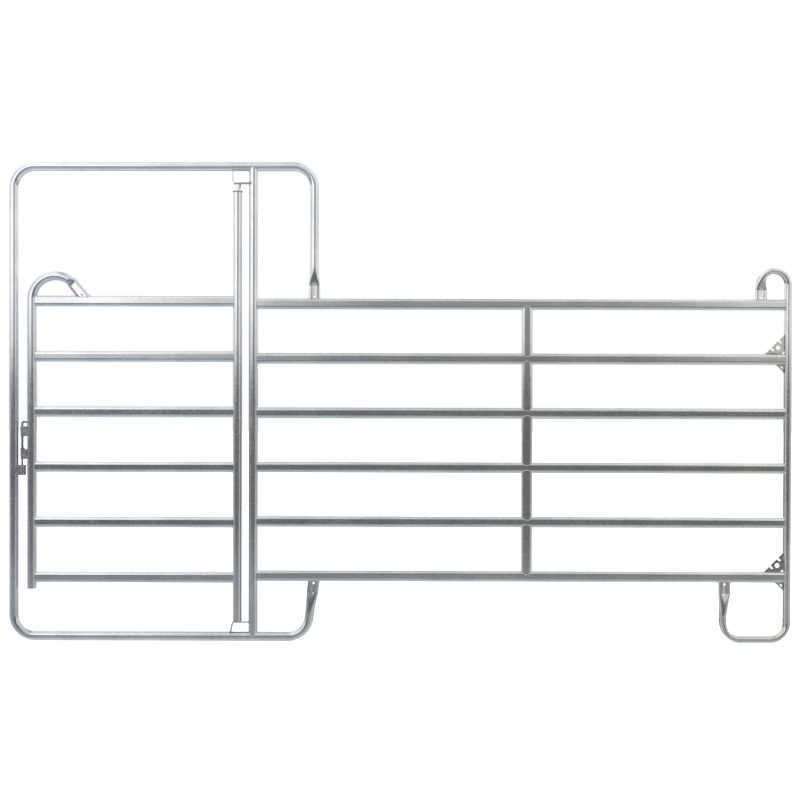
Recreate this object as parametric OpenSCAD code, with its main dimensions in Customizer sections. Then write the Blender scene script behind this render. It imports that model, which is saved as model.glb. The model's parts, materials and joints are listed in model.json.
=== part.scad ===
// Galvanised livestock panel with a walk-through gate in a raised tube frame.
// X runs along the panel, Z is up, and the front faces -Y. The origin lies on the ground,
// in the middle of the flat sole of the end post's foot.

/* [Overall] */
// Length from the latch side of the gate frame to the outer face of the end post
overall_len = 3590; // [3300:10:4000]
// Height of the gate frame above the ground
frame_h = 2200; // [2100:10:2400]
// Height of the end post's arch above the ground
arch_top = 1718; // [1700:1:1760]

/* [Tube stock] */
// Outside diameter of the round tube
round_d = 42.4; // [40:0.1:44]
// Wall of the round tube
round_wall = 2; // [1.5:0.1:3]
// Long side of the flat-sided oval tube
oval_w = 50; // [46:1:54]
// Short side of the flat-sided oval tube
oval_t = 30; // [28:0.5:32]
// Wall of the oval tube
oval_wall = 1.5; // [1.2:0.1:2.5]
// Root gap left where one welded piece meets another
weld_gap = 0.2; // [0.1:0.05:0.3]
// Root gap under a tube end that is shaped to fit a rail
seat_gap = 0.5; // [0.3:0.05:0.6]

/* [Panel rails] */
// Height of the lowest panel rail's centre
rail_low = 300; // [280:5:330]
// Rise from one panel rail to the next
rail_pitch = 250; // [240:1:254]
// Distance from the inner post to the middle post, centre to centre
mid_post_dx = 1257; // [900:1:1500]

/* [Gate frame] */
// Clear width between the latch upright and the inner post
gateway_w = 1060; // [950:5:1150]
// Bend radius of the frame tube on its centre line
frame_bend_r = 97; // [80:1:120]
// Distance from the inner post to the frame's return legs, centre to centre
return_dx = 280; // [240:5:360]
// Lean of the lower return leg from the vertical
return_lean = 7.5; // [3:0.5:10]

/* [End post] */
// Bend radius of the end post's arch on its centre line
arch_r = 68; // [60:1:72]
// Turn of the arch before its pressed end begins
arch_turn = 140; // [130:1:150]
// Distance between the end post and the other leg of its foot
foot_dx = 292; // [260:2:340]
// Bend radius of the foot on its centre line
foot_bend_r = 80; // [70:1:90]
// Distance by which the foot's pressed end stands in from its leg
foot_press_in = 7; // [0:0.5:10]

/* [Pressed tube ends] */
// Thickness of a tube end that is pressed flat
press_t = 20; // [16:1:24]
// Thickness of the gate arch's end, which is pressed less
gate_press_t = 26; // [22:1:30]
// Length of the pressed flat
press_flat = 50; // [40:1:60]
// Length of the taper from the flat to the full round tube
round_taper = 60; // [50:1:80]
// Length of the taper from the flat to the full oval tube
oval_taper = 55; // [45:1:65]
// Length of the gate arch's pressed flat
gate_press_flat = 40; // [30:1:45]
// Depth of the groove that the press leaves along the middle of each flat
press_groove = 6; // [4:0.5:7]
// Radius of that groove
press_groove_r = 10; // [8:0.5:13]
// Diameter of the zinc drain hole beside the weld
drain_d = 11; // [8:0.5:13]
// Height of the drain hole above the weld
drain_up = 10; // [8:0.5:14]

/* [Gate] */
// Height of the lowest gate rail's centre
gate_rail_low = 291; // [275:1:310]
// Rise from one gate rail to the next
gate_rail_pitch = 254; // [244:1:256]
// Clear gap between the latch upright and the gate's latch stile
latch_gap = 41; // [38:0.5:46]
// Height of the open lower end of the latch stile
stile_foot = 238; // [220:1:250]
// Bend radius of the gate's arch on its centre line
gate_arch_r = 108; // [100:1:120]
// Height of the gate arch's highest point
gate_arch_top = 1698; // [1690:1:1720]
// Slope at which the gate arch comes down onto the top gate rail
gate_arch_fall = 50; // [45:1:54]

/* [Hinge] */
// Distance from the inner post to the hinge axis
hinge_dx = 73; // [70:0.5:85]
// Height of the lower hinge bracket's upper face
hinge_seat = 90; // [80:1:110]
// Drop from the highest point of the gate frame to the top of the hinge collar
collar_top = 132; // [125:1:145]
// Thickness of the hinge collar
collar_h = 5; // [4:0.5:8]
// Diameter of the hinge collar
collar_d = 50; // [47:0.5:54]
// Diameter of the upper hinge pin
hinge_pin_d = 30; // [26:0.5:32]
// Wall of the upper hinge pin, which is rolled from plate
hinge_pin_wall = 4; // [3:0.5:6]
// Width of the rolled pin's seam
hinge_slit = 1.5; // [1:0.1:2]
// Width of the seam at the bracket, where it gapes
hinge_slit_top = 6; // [4:0.5:8]
// Turn of the seam from the front
hinge_slit_turn = 52; // [0:1:80]
// Length of each hinge pin inside the hinge tube
hinge_pin_in = 80; // [50:1:120]
// Gap under the upper bracket, so that the gate can ride up a little
hinge_lift = 32; // [20:1:40]
// Width of the hinge brackets' flat bar
bar_w = 40; // [34:1:42]
// Thickness of the hinge brackets' flat bar
bar_t = 5; // [4:0.5:6]
// Inside bend radius of the flat bar
bar_bend_r = 5; // [3:0.5:8]
// Distance from the hinge axis to the brackets' upright legs
bar_leg_dx = 24; // [23:0.5:30]
// Lean of the lower bracket's leg
bar_lean = 12; // [0:1:15]
// Running clearance of the hinge
hinge_clear = 0.3; // [0.15:0.05:0.5]

/* [Drop bolt] */
// Diameter of the bolt rod
bolt_d = 10; // [8:0.5:11]
// Distance from the latch upright's centre to the bolt
bolt_dx = 39; // [37:0.5:42]
// Height of the bolt's handle
bolt_top = 1005; // [995:1:1020]
// Length of bolt that sits in the keeper
bolt_bite = 26; // [18:1:30]
// Bend radius of the handle
handle_r = 12; // [10:0.5:16]
// Reach of the handle from the bolt's axis
handle_len = 58; // [45:1:70]
// Angle by which the handle points out to the front
handle_turn = 48; // [46:1:60]
// Upper end of the keeper
keeper_top = 806; // [800:1:812]
// Height of the keeper and of each guide
strap_h = 46; // [40:1:48]
// Thickness of the keeper's strap
keeper_t = 4; // [3:0.5:5]
// Room around the bolt in the keeper
keeper_room = 8; // [6:0.5:9]
// Thickness of the guide straps
guide_t = 3; // [2.5:0.5:4]
// Running clearance of the bolt in its guides
bolt_clear = 0.5; // [0.3:0.1:0.8]
// Gap between the keeper and the lower guide
guide_rise = 28; // [24:1:40]
// Length of the spring between the stop pin and the upper guide
spring_len = 52; // [48:1:60]
// Wire diameter of the spring
spring_wire = 2.2; // [1.6:0.1:2.4]
// Turns of the spring
spring_turns = 8; // [6:1:9]
// Diameter of the stop pin
stop_d = 5; // [4:0.5:6]
// Length of the stop pin
stop_len = 24; // [20:0.5:25]

/* [Chain plates] */
// Leg of the three-cornered chain plates
chain_leg = 89; // [84:1:100]
// Thickness of the chain plates and gussets
plate_t = 6; // [5:0.5:8]
// Radius of the chain plates' hole
chain_hole_r = 10.5; // [8:0.5:12]
// Distance of the hole from both straight edges
chain_hole_in = 29; // [26:0.5:32]
// Width of the chain slots
slot_w = 9; // [7:0.5:10]
// Depth of the chain slots
slot_depth = 18; // [14:0.5:20]
// Distance between the two chain slots
slot_pitch = 50; // [44:1:56]
// Relief cut at the inner corner of a chain plate
plate_relief = 14; // [10:0.5:16]
// Leg of the small gussets below the rails
gusset_leg = 38; // [34:1:44]
// Radius of the small gussets' hole
gusset_hole_r = 4.5; // [3:0.5:5.5]
// Distance of the small hole from both straight edges
gusset_hole_in = 14; // [12:0.5:16]

/* [Hidden] */
$fn = 64;

rail_count = 6;
hull_fn = 32;

// Stations along X
end_x = foot_dx / 2;
right_x = end_x + oval_t / 2;
upright_x = right_x - overall_len + round_d / 2;
inner_x = upright_x + round_d + gateway_w;
hinge_x = inner_x - hinge_dx;
stile_x = upright_x + round_d + latch_gap;
bolt_x = upright_x + bolt_dx;
return_x = inner_x + return_dx;
mid_x = inner_x + mid_post_dx;
foot_leg_x = end_x - foot_dx;

// Heights
head_z = frame_h - round_d / 2;
sill_z = round_d / 2;
rail_top = rail_low + (rail_count - 1) * rail_pitch;
gate_rail_top = gate_rail_low + (rail_count - 1) * gate_rail_pitch;
arch_z = arch_top - arch_r - oval_t / 2;
gate_arch_z = gate_arch_top - gate_arch_r - round_d / 2;
collar_z = frame_h - collar_top - collar_h;
upper_bar_z = frame_h - collar_top + hinge_lift;
guide_low = keeper_top + guide_rise;
stop_z = guide_low + strap_h + hinge_clear + stop_d / 2;
spring_low = stop_z + stop_d / 2 + hinge_clear;
guide_high = spring_low + spring_len + hinge_clear;

// How far a pressed end is started inside the rail that it is then shaped to fit
seat_in = oval_t / 6;
// Step and bite by which a taper starts inside the stock it grows from
taper_step = 1;
taper_bite = 0.3;
// How far a cut runs past the face that it opens
cut_over = 1;

zinc = [0.70, 0.72, 0.74];
zinc_dull = [0.58, 0.60, 0.62];
zinc_bright = [0.80, 0.81, 0.82];

function panel_rail_z(i) = rail_low + (i - 1) * rail_pitch;
function gate_rail_z(i) = gate_rail_low + (i - 1) * gate_rail_pitch;

// A pressed end keeps the tube's girth, so its width follows from its thickness
function round_pressed_w(t) = t + PI * (round_d - t) / 2;
function oval_pressed_w(t) = t + oval_w - oval_t + PI * (oval_t - t) / 2;

// Points along an arc, from one angle to another
function arc(centre, radius, from, to, steps = 8) =
    [for (s = [0 : steps]) let (a = from + (to - from) * s / steps) centre + radius * [cos(a), sin(a)]];

// Outlines of the stock, with the long side along X

module oval(long, short) {
    square([long - short, short], center = true);
    for (side = [-1, 1]) translate([side * (long - short) / 2, 0]) circle(d = short);
}

module oval_tube() {
    difference() {
        oval(oval_w, oval_t);
        oval(oval_w - 2 * oval_wall, oval_t - 2 * oval_wall);
    }
}

module round_tube() {
    difference() {
        circle(d = round_d);
        circle(d = round_d - 2 * round_wall);
    }
}

// Bent work is drawn flat, with X along the panel and Y up, and then stood up

module stand() {
    rotate([90, 0, 0]) children();
}

// Straight stretch of a tube from one point to another
module run(from, to) {
    way = to - from;
    translate(from) rotate([0, 0, atan2(way.y, way.x)]) rotate([0, 90, 0])
        linear_extrude(norm(way)) children();
}

// Bend of a tube about a centre, from a start angle through a turn
module bend(centre, radius, start, turn) {
    translate(centre) rotate([0, 0, start]) rotate_extrude(angle = turn)
        translate([radius, 0]) rotate(90) children();
}

// Flat of a pressed end, leaving its seat along an angle, with the drain hole
module press_flat_at(seat, angle, width, thick, length, sink = seat_in) {
    translate(seat) rotate([0, 0, angle]) difference() {
        translate([-sink, 0, 0]) rotate([0, 90, 0]) linear_extrude(length + sink)
            rotate(90) oval(width, thick);
        translate([drain_up, 0, 0]) cylinder(d = drain_d, h = thick * 2, center = true);
    }
}

// The same flat with the press's groove along the middle of both faces
module grooved_flat_at(seat, angle, width) {
    groove_out = press_t / 2 + press_groove_r - press_groove;
    difference() {
        press_flat_at(seat, angle, width, press_t, press_flat);
        translate(seat) rotate([0, 0, angle]) for (face = [-1, 1])
            translate([-seat_in - cut_over, 0, face * groove_out]) rotate([0, 90, 0])
                cylinder(r = press_groove_r, h = press_flat + seat_in + 2 * cut_over);
    }
}

// Thin slice of an outline across a tube, for a taper to start or end on
module slice(at, angle, length) {
    translate(at) rotate([0, 0, angle]) rotate([0, 90, 0]) linear_extrude(length, $fn = hull_fn)
        children();
}

// Solid body of a rail's outline, grown by the seat gap, that cuts a seat in what meets it
module rail_seat(x0, x1, z) {
    translate([x0, 0, z]) rotate([0, 90, 0])
        linear_extrude(x1 - x0) oval(oval_w + 2 * seat_gap, oval_t + 2 * seat_gap);
}

module panel_rail_seat(i) {
    rail_seat(inner_x, end_x - oval_t, panel_rail_z(i));
}

// Upright body of a round tube, grown by the weld gap
module post_seat(x) {
    translate([x, 0, 0]) cylinder(d = round_d + 2 * weld_gap, h = frame_h);
}

// Body of the latch stile up into its arch, grown by the weld gap
module stile_seat() {
    stand() {
        run([stile_x, stile_foot], [stile_x, gate_arch_z]) circle(d = round_d + 2 * weld_gap);
        bend([stile_x + gate_arch_r, gate_arch_z], gate_arch_r, 90, 90)
            circle(d = round_d + 2 * weld_gap);
    }
}

// Level body of a round frame tube, grown by the weld gap
module bar_seat(z) {
    translate([upright_x, 0, z]) rotate([0, 90, 0])
        cylinder(d = round_d + 2 * weld_gap, h = gateway_w + return_dx);
}

module level_rail(x0, x1, z) {
    translate([x0, 0, z]) rotate([0, 90, 0]) linear_extrude(x1 - x0) oval_tube();
}

// Gate frame: one bent tube from the top rail, round the gateway, to the bottom rail

module gate_frame() {
    r = frame_bend_r;
    width = round_pressed_w(press_t);
    top_seat = [return_x, rail_top + oval_w / 2];
    low_seat = [return_x, rail_low - oval_w / 2];
    press_len = press_flat + round_taper;
    lean = [sin(return_lean), cos(return_lean)];
    low_bend_end = sill_z + r - r * sin(return_lean);
    low_leg = (low_seat.y - low_bend_end) / lean.y;
    low_bend_x = round(low_seat.x - low_leg * lean.x - r * lean.y);
    low_end = [low_bend_x, sill_z + r] + r * [lean.y, -lean.x];
    color(zinc) difference() {
        stand() {
            grooved_flat_at(top_seat, 90, width);
            hull() {
                slice(top_seat + [0, press_flat - taper_bite], 90, taper_bite)
                    rotate(90) oval(width - taper_step, press_t - taper_step);
                slice(top_seat + [0, press_len], 90, taper_bite) circle(d = round_d - taper_step);
            }
            run(top_seat + [0, press_len], [return_x, head_z - r]) round_tube();
            bend([return_x - r, head_z - r], r, 0, 90) round_tube();
            run([return_x - r, head_z], [upright_x + r, head_z]) round_tube();
            bend([upright_x + r, head_z - r], r, 90, 90) round_tube();
            run([upright_x, head_z - r], [upright_x, sill_z + r]) round_tube();
            bend([upright_x + r, sill_z + r], r, 180, 90) round_tube();
            run([upright_x + r, sill_z], [low_bend_x, sill_z]) round_tube();
            bend([low_bend_x, sill_z + r], r, -90, 90 - return_lean) round_tube();
            hull() {
                slice(low_end - taper_bite * lean, 90 - return_lean, taper_bite)
                    circle(d = round_d - taper_step);
                slice(low_seat - press_flat * lean, 90 - return_lean, taper_bite)
                    rotate(90) oval(width - taper_step, press_t - taper_step);
            }
            grooved_flat_at(low_seat, -90 - return_lean, width);
        }
        panel_rail_seat(1);
        panel_rail_seat(rail_count);
    }
}

module inner_post() {
    color(zinc) difference() {
        translate([inner_x, 0, sill_z]) linear_extrude(head_z - sill_z) round_tube();
        bar_seat(head_z);
        bar_seat(sill_z);
    }
}

// Panel

module panel_rail(i) {
    color(zinc) difference() {
        level_rail(inner_x, end_x - oval_t / 2 - weld_gap, panel_rail_z(i));
        post_seat(inner_x);
    }
}

// Middle post: short pieces of oval tube, each fitted between two rails
module mid_post() {
    color(zinc) for (i = [1 : rail_count - 1]) difference() {
        translate([mid_x, 0, panel_rail_z(i)]) linear_extrude(rail_pitch) oval_tube();
        panel_rail_seat(i);
        panel_rail_seat(i + 1);
    }
}

// End post: one oval tube, arched over at the top and bent into a foot at the bottom
module end_post() {
    width = oval_pressed_w(press_t);
    r = foot_bend_r;
    run_z = oval_t / 2;
    centre = [end_x - arch_r, arch_z];
    arch_end = centre + arch_r * [cos(arch_turn), sin(arch_turn)];
    outer_x = centre.x - arch_r - oval_t / 2;
    arch_seat = [outer_x + width / 2, rail_top + oval_w / 2];
    foot_seat = [foot_leg_x + foot_press_in, rail_low - oval_w / 2];
    press_len = press_flat + oval_taper;
    leg_end = [foot_leg_x, foot_seat.y - press_len];
    color(zinc) difference() {
        stand() {
            grooved_flat_at(arch_seat, 90, width);
            hull() {
                slice(arch_seat + [0, press_flat - taper_bite], 90, taper_bite)
                    rotate(90) oval(width - taper_step, press_t - taper_step);
                slice(arch_end, arch_turn - 90, taper_bite)
                    oval(oval_w - taper_step, oval_t - taper_step);
            }
            bend(centre, arch_r, 0, arch_turn) oval_tube();
            run([end_x, arch_z], [end_x, run_z + r]) oval_tube();
            bend([end_x - r, run_z + r], r, -90, 90) oval_tube();
            run([end_x - r, run_z], [foot_leg_x + r, run_z]) oval_tube();
            bend([foot_leg_x + r, run_z + r], r, 180, 90) oval_tube();
            run([foot_leg_x, run_z + r], leg_end) oval_tube();
            hull() {
                slice(leg_end - [0, taper_bite], 90, taper_bite)
                    oval(oval_w - taper_step, oval_t - taper_step);
                slice(foot_seat - [0, press_flat], 90, taper_bite)
                    rotate(90) oval(width - taper_step, press_t - taper_step);
            }
            grooved_flat_at(foot_seat, -90, width);
        }
        panel_rail_seat(1);
        panel_rail_seat(rail_count);
    }
}

// Three-cornered plates in the corners of rail and end post, drawn from the inner corner

module corner_plate(z) {
    translate([end_x - oval_t / 2 - weld_gap, 0, z]) mirror([1, 0, 0]) stand()
        linear_extrude(plate_t, center = true) children();
}

module chain_plate(i) {
    edge = chain_leg / 2;
    color(zinc_bright) corner_plate(panel_rail_z(i) + oval_w / 2 + weld_gap) difference() {
        polygon([[plate_relief, 0], [chain_leg, 0], [0, chain_leg], [0, plate_relief]]);
        translate([chain_hole_in, chain_hole_in]) circle(r = chain_hole_r);
        for (side = [-1, 1])
            translate([edge, edge]) rotate(45) translate([0, side * slot_pitch / 2]) {
                translate([slot_w / 2 - slot_depth, 0]) circle(d = slot_w);
                translate([slot_w / 2 - slot_depth, -slot_w / 2]) square([slot_depth, slot_w]);
            }
    }
}

module gusset(i) {
    color(zinc_dull) corner_plate(panel_rail_z(i) - oval_w / 2 - weld_gap) mirror([0, 1]) difference() {
        polygon([[0, 0], [gusset_leg, 0], [0, gusset_leg]]);
        translate([gusset_hole_in, gusset_hole_in]) circle(r = gusset_hole_r);
    }
}

// Hinge

// Bent flat bar from the inner post past the hinge axis, with a leg to the frame tube.
// The face towards the gate lies at height z, and up is 1 for the upper bracket.
module hinge_bracket(z, up, lean, bar_z) {
    out_r = bar_bend_r + bar_t;
    centre = [hinge_x - bar_leg_dx + out_r, out_r];
    leg_end = lean - 180;
    side = [cos(leg_end), sin(leg_end)];
    leg = (abs(bar_z - z) - out_r) * [-sin(lean), cos(lean)];
    outline = concat(
        [[inner_x, 0]],
        arc(centre, out_r, -90, leg_end),
        [centre + out_r * side + leg, centre + bar_bend_r * side + leg],
        arc(centre, bar_bend_r, leg_end, -90),
        [[inner_x, bar_t]]
    );
    color(zinc_dull) difference() {
        translate([0, 0, z]) scale([1, 1, up]) stand() linear_extrude(bar_w, center = true)
            polygon(outline);
        post_seat(inner_x);
        bar_seat(bar_z);
    }
}

module upper_hinge_bracket() {
    hinge_bracket(upper_bar_z, 1, 0, head_z);
}

module lower_hinge_bracket() {
    hinge_bracket(hinge_seat, -1, bar_lean, sill_z);
}

// Upper pin: a sleeve rolled from plate, whose seam gapes towards the bracket
module upper_hinge_pin() {
    low = collar_z - hinge_pin_in;
    high = upper_bar_z - weld_gap;
    half_slit = [for (w = [hinge_slit, hinge_slit, hinge_slit_top]) w / 2];
    levels = [low - cut_over, frame_h - collar_top, high + cut_over];
    color(zinc) translate([hinge_x, 0, 0]) difference() {
        translate([0, 0, low]) cylinder(d = hinge_pin_d, h = high - low);
        translate([0, 0, low - cut_over])
            cylinder(d = hinge_pin_d - 2 * hinge_pin_wall, h = high - low + 2 * cut_over);
        rotate([0, 0, hinge_slit_turn]) stand() linear_extrude(hinge_pin_d) polygon(concat(
            [for (i = [0 : 2]) [half_slit[i], levels[i]]],
            [for (i = [2 : -1 : 0]) [-half_slit[i], levels[i]]]
        ));
    }
}

module lower_hinge_pin() {
    color(zinc) translate([hinge_x, 0, hinge_seat + weld_gap])
        cylinder(d = round_d - 2 * round_wall - 2 * hinge_clear, h = hinge_pin_in);
}

module hinge_tube() {
    low = hinge_seat + hinge_clear;
    color(zinc) translate([hinge_x, 0, low])
        linear_extrude(collar_z - weld_gap - low) round_tube();
}

module hinge_collar() {
    color(zinc_bright) translate([hinge_x, 0, collar_z]) difference() {
        cylinder(d = collar_d, h = collar_h);
        translate([0, 0, -cut_over])
            cylinder(d = hinge_pin_d + 2 * hinge_clear, h = collar_h + 2 * cut_over);
    }
}

// Gate

module gate_rail(i) {
    color(zinc) difference() {
        level_rail(stile_x, hinge_x, gate_rail_z(i));
        stile_seat();
        post_seat(hinge_x);
    }
}

// Latch stile: one round tube, arched over and pressed onto the gate's top rail
module latch_stile() {
    r = gate_arch_r;
    fall = gate_arch_fall;
    width = round_pressed_w(gate_press_t);
    centre = [stile_x + r, gate_arch_z];
    arch_end = centre + r * [sin(fall), cos(fall)];
    seat_z = gate_rail_top + oval_w / 2;
    down = [cos(fall), -sin(fall)];
    seat = arch_end + down * (arch_end.y - seat_z) / sin(fall);
    color(zinc) difference() {
        stand() {
            run([stile_x, stile_foot], [stile_x, gate_arch_z]) round_tube();
            bend(centre, r, 90, 90) round_tube();
            bend(centre, r, 90, -fall) round_tube();
            hull() {
                slice(arch_end - taper_bite * down, -fall, taper_bite) circle(d = round_d - taper_step);
                slice(seat - gate_press_flat * down, -fall, taper_bite)
                    rotate(90) oval(width - taper_step, gate_press_t - taper_step);
            }
            press_flat_at(seat, 180 - fall, width, gate_press_t, gate_press_flat, width / 2 + seat_in);
        }
        rail_seat(stile_x + round_d, hinge_x, gate_rail_top);
    }
}

// Drop bolt with its guides, keeper, spring and stop pin

// Strap bent round the bolt's axis, with both legs running to a tube at tube_x
module strap(tube_x, inner_r, thick, z) {
    outer_r = inner_r + thick;
    reach = abs(tube_x - bolt_x);
    side = sign(tube_x - bolt_x);
    translate([0, 0, z]) linear_extrude(strap_h) difference() {
        translate([bolt_x, 0]) {
            circle(r = outer_r);
            translate([side * reach / 2, 0]) square([reach, 2 * outer_r], center = true);
        }
        translate([bolt_x, 0]) {
            circle(r = inner_r);
            translate([side * reach / 2, 0]) square([reach, 2 * inner_r], center = true);
        }
        translate([tube_x, 0]) circle(d = round_d + 2 * weld_gap);
    }
}

module bolt_keeper() {
    color(zinc_dull) strap(upright_x, bolt_d / 2 + keeper_room, keeper_t, keeper_top - strap_h);
}

module lower_bolt_guide() {
    color(zinc_dull) strap(stile_x, bolt_d / 2 + bolt_clear, guide_t, guide_low);
}

module upper_bolt_guide() {
    color(zinc_dull) strap(stile_x, bolt_d / 2 + bolt_clear, guide_t, guide_high);
}

module drop_bolt() {
    low = keeper_top - bolt_bite;
    color(zinc_dull) difference() {
        translate([bolt_x, 0, 0]) rotate([0, 0, -handle_turn]) stand() {
            run([0, low], [0, bolt_top - handle_r]) circle(d = bolt_d);
            bend([handle_r, bolt_top - handle_r], handle_r, 90, 90) circle(d = bolt_d);
            run([handle_r, bolt_top], [handle_len, bolt_top]) circle(d = bolt_d);
        }
        translate([bolt_x, 0, stop_z]) rotate([0, 90, 0])
            cylinder(d = stop_d + 2 * weld_gap, h = 2 * bolt_d, center = true);
    }
}

module stop_pin() {
    color(zinc_dull) translate([bolt_x, 0, stop_z]) rotate([0, 90, 0])
        cylinder(d = stop_d, h = stop_len, center = true);
}

// Open coil, swept as rings of wire along a helix
module bolt_spring() {
    ring = 6;
    per_turn = 14;
    steps = spring_turns * per_turn;
    coil_r = bolt_d / 2 + bolt_clear + spring_wire / 2;
    rise = spring_len - spring_wire;
    points = [for (s = [0 : steps], k = [0 : ring - 1])
        let (a = 360 * s / per_turn, b = 360 * k / ring, q = coil_r + spring_wire / 2 * cos(b))
        [q * cos(a), q * sin(a), spring_wire / 2 * (1 + sin(b)) + rise * s / steps]];
    sides = [for (s = [0 : steps - 1], k = [0 : ring - 1])
        let (n = (k + 1) % ring) [s * ring + k, (s + 1) * ring + k, (s + 1) * ring + n, s * ring + n]];
    first = [for (k = [0 : ring - 1]) k];
    last = [for (k = [ring - 1 : -1 : 0]) steps * ring + k];
    color(zinc_dull) translate([bolt_x, 0, spring_low])
        polyhedron(points, concat(sides, [first, last]), convexity = spring_turns);
}

gate_frame();
inner_post();
panel_rail(1);  // panel_rail_1
panel_rail(2);  // panel_rail_2
panel_rail(3);  // panel_rail_3
panel_rail(4);  // panel_rail_4
panel_rail(5);  // panel_rail_5
panel_rail(6);  // panel_rail_6
mid_post();
end_post();
chain_plate(5);  // upper_chain_plate
chain_plate(1);  // lower_chain_plate
gusset(5);  // upper_gusset
gusset(1);  // lower_gusset
upper_hinge_bracket();
lower_hinge_bracket();
upper_hinge_pin();
lower_hinge_pin();
bolt_keeper();
hinge_tube();
hinge_collar();
gate_rail(1);  // gate_rail_1
gate_rail(2);  // gate_rail_2
gate_rail(3);  // gate_rail_3
gate_rail(4);  // gate_rail_4
gate_rail(5);  // gate_rail_5
gate_rail(6);  // gate_rail_6
latch_stile();
upper_bolt_guide();
lower_bolt_guide();
bolt_spring();
drop_bolt();
stop_pin();
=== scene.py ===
import json
import math

import bmesh
import bpy
from mathutils import Matrix, Vector

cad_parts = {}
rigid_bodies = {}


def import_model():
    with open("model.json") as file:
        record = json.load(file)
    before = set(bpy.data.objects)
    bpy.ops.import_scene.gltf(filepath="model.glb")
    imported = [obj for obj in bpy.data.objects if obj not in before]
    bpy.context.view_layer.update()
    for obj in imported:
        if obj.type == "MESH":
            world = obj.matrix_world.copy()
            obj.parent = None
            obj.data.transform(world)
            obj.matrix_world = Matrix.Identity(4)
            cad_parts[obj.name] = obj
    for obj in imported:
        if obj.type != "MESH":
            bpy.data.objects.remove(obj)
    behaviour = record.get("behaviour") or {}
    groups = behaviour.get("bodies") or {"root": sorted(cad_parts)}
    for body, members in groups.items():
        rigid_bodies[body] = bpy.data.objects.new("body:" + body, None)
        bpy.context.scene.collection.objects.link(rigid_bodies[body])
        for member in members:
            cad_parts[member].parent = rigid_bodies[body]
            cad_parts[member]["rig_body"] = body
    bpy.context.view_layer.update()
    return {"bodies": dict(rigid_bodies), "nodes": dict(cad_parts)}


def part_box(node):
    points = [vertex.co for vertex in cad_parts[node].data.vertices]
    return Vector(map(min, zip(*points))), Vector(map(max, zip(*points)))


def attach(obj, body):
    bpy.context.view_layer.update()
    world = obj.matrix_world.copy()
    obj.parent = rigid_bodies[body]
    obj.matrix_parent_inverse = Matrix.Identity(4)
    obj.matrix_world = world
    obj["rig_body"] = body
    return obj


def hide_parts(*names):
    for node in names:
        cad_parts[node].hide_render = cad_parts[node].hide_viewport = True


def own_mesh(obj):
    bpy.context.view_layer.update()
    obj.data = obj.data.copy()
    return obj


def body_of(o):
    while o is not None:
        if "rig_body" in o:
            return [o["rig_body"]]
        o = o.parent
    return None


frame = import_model()
scene = bpy.context.scene
nodes = frame["nodes"]
print("frame loaded:", len(nodes), "pieces")


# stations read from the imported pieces, in metres
def middle(node, axis):
    low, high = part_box(node)
    return (low[axis] + high[axis]) / 2


def span(node, axis):
    low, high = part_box(node)
    return high[axis] - low[axis]


roundD = span("inner_post", 0)
roundR = roundD / 2
ovalW = span("panel_rail_1", 2)
ovalT = span("panel_rail_1", 1)
panelLevels = [middle("panel_rail_%d" % i, 2) for i in range(1, 7)]
gateLevels = [middle("gate_rail_%d" % i, 2) for i in range(1, 7)]
topSeatZ = panelLevels[5] + ovalW / 2
lowSeatZ = panelLevels[0] - ovalW / 2
innerX = middle("inner_post", 0)
hingeX = middle("hinge_tube", 0)
midX = middle("mid_post", 0)
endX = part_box("end_post")[1][0] - ovalT / 2
footX = -endX
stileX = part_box("latch_stile")[0][0] + roundR
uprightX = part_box("gate_frame")[0][0] + roundR
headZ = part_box("gate_frame")[1][2] - roundR
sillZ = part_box("gate_frame")[0][2] + roundR
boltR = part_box("drop_bolt")[1][1]
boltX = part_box("drop_bolt")[0][0] + boltR


# a node's output that takes plain arithmetic
class Term:
    def __init__(self, socket):
        self.socket, self.tree = socket, socket.id_data

    __add__ = lambda a, b: calc("ADD", a, b)
    __sub__ = lambda a, b: calc("SUBTRACT", a, b)
    __rsub__ = lambda a, b: calc("SUBTRACT", b, a)
    __mul__ = lambda a, b: calc("MULTIPLY", a, b)
    __truediv__ = lambda a, b: calc("DIVIDE", a, b)
    __abs__ = lambda a: calc("ABSOLUTE", a)


def term(node, label=0):
    return Term(node.outputs[label])


def namedTerms(node):
    return {socket.name: Term(socket) for socket in node.outputs if socket.name}


def put(socket, value):
    if isinstance(value, Term):
        value.tree.links.new(value.socket, socket)
    else:
        socket.default_value = value


# settings first, then the inputs by name or number
def newNode(tree, kind, inputs=None, **settings):
    node = tree.nodes.new(kind)
    for label, value in settings.items():
        setattr(node, label, value)
    for label, value in (inputs or {}).items():
        put(node.inputs[label], value)
    return node


def calc(operation, *terms):
    tree = next(t.tree for t in terms if isinstance(t, Term))
    return term(newNode(tree, "ShaderNodeMath", dict(enumerate(terms)), operation=operation))


def ramp(value, low, high, start=0.0, end=1.0, kind="LINEAR"):
    inputs = dict(enumerate((value, low, high, start, end)))
    return term(newNode(value.tree, "ShaderNodeMapRange", inputs, interpolation_type=kind))


def step(value, low, high, size=1.0):
    return ramp(value, low, high, 0.0, size, "SMOOTHSTEP")


def vecMath(operation, first, second):
    inputs = {0: first, "Scale" if operation == "SCALE" else 1: second}
    return term(newNode(first.tree, "ShaderNodeVectorMath", inputs, operation=operation))


def split(vector, kind="XYZ"):
    return [Term(socket) for socket in newNode(vector.tree, "ShaderNodeSeparate" + kind, {0: vector}).outputs]


def blendTint(factor, first, second):
    first, second = ((*tint, 1) if isinstance(tint, tuple) else tint for tint in (first, second))
    inputs = {"Factor": factor, "A": first, "B": second}
    return term(newNode(factor.tree, "ShaderNodeMix", inputs, data_type="RGBA"), "Result")


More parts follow.
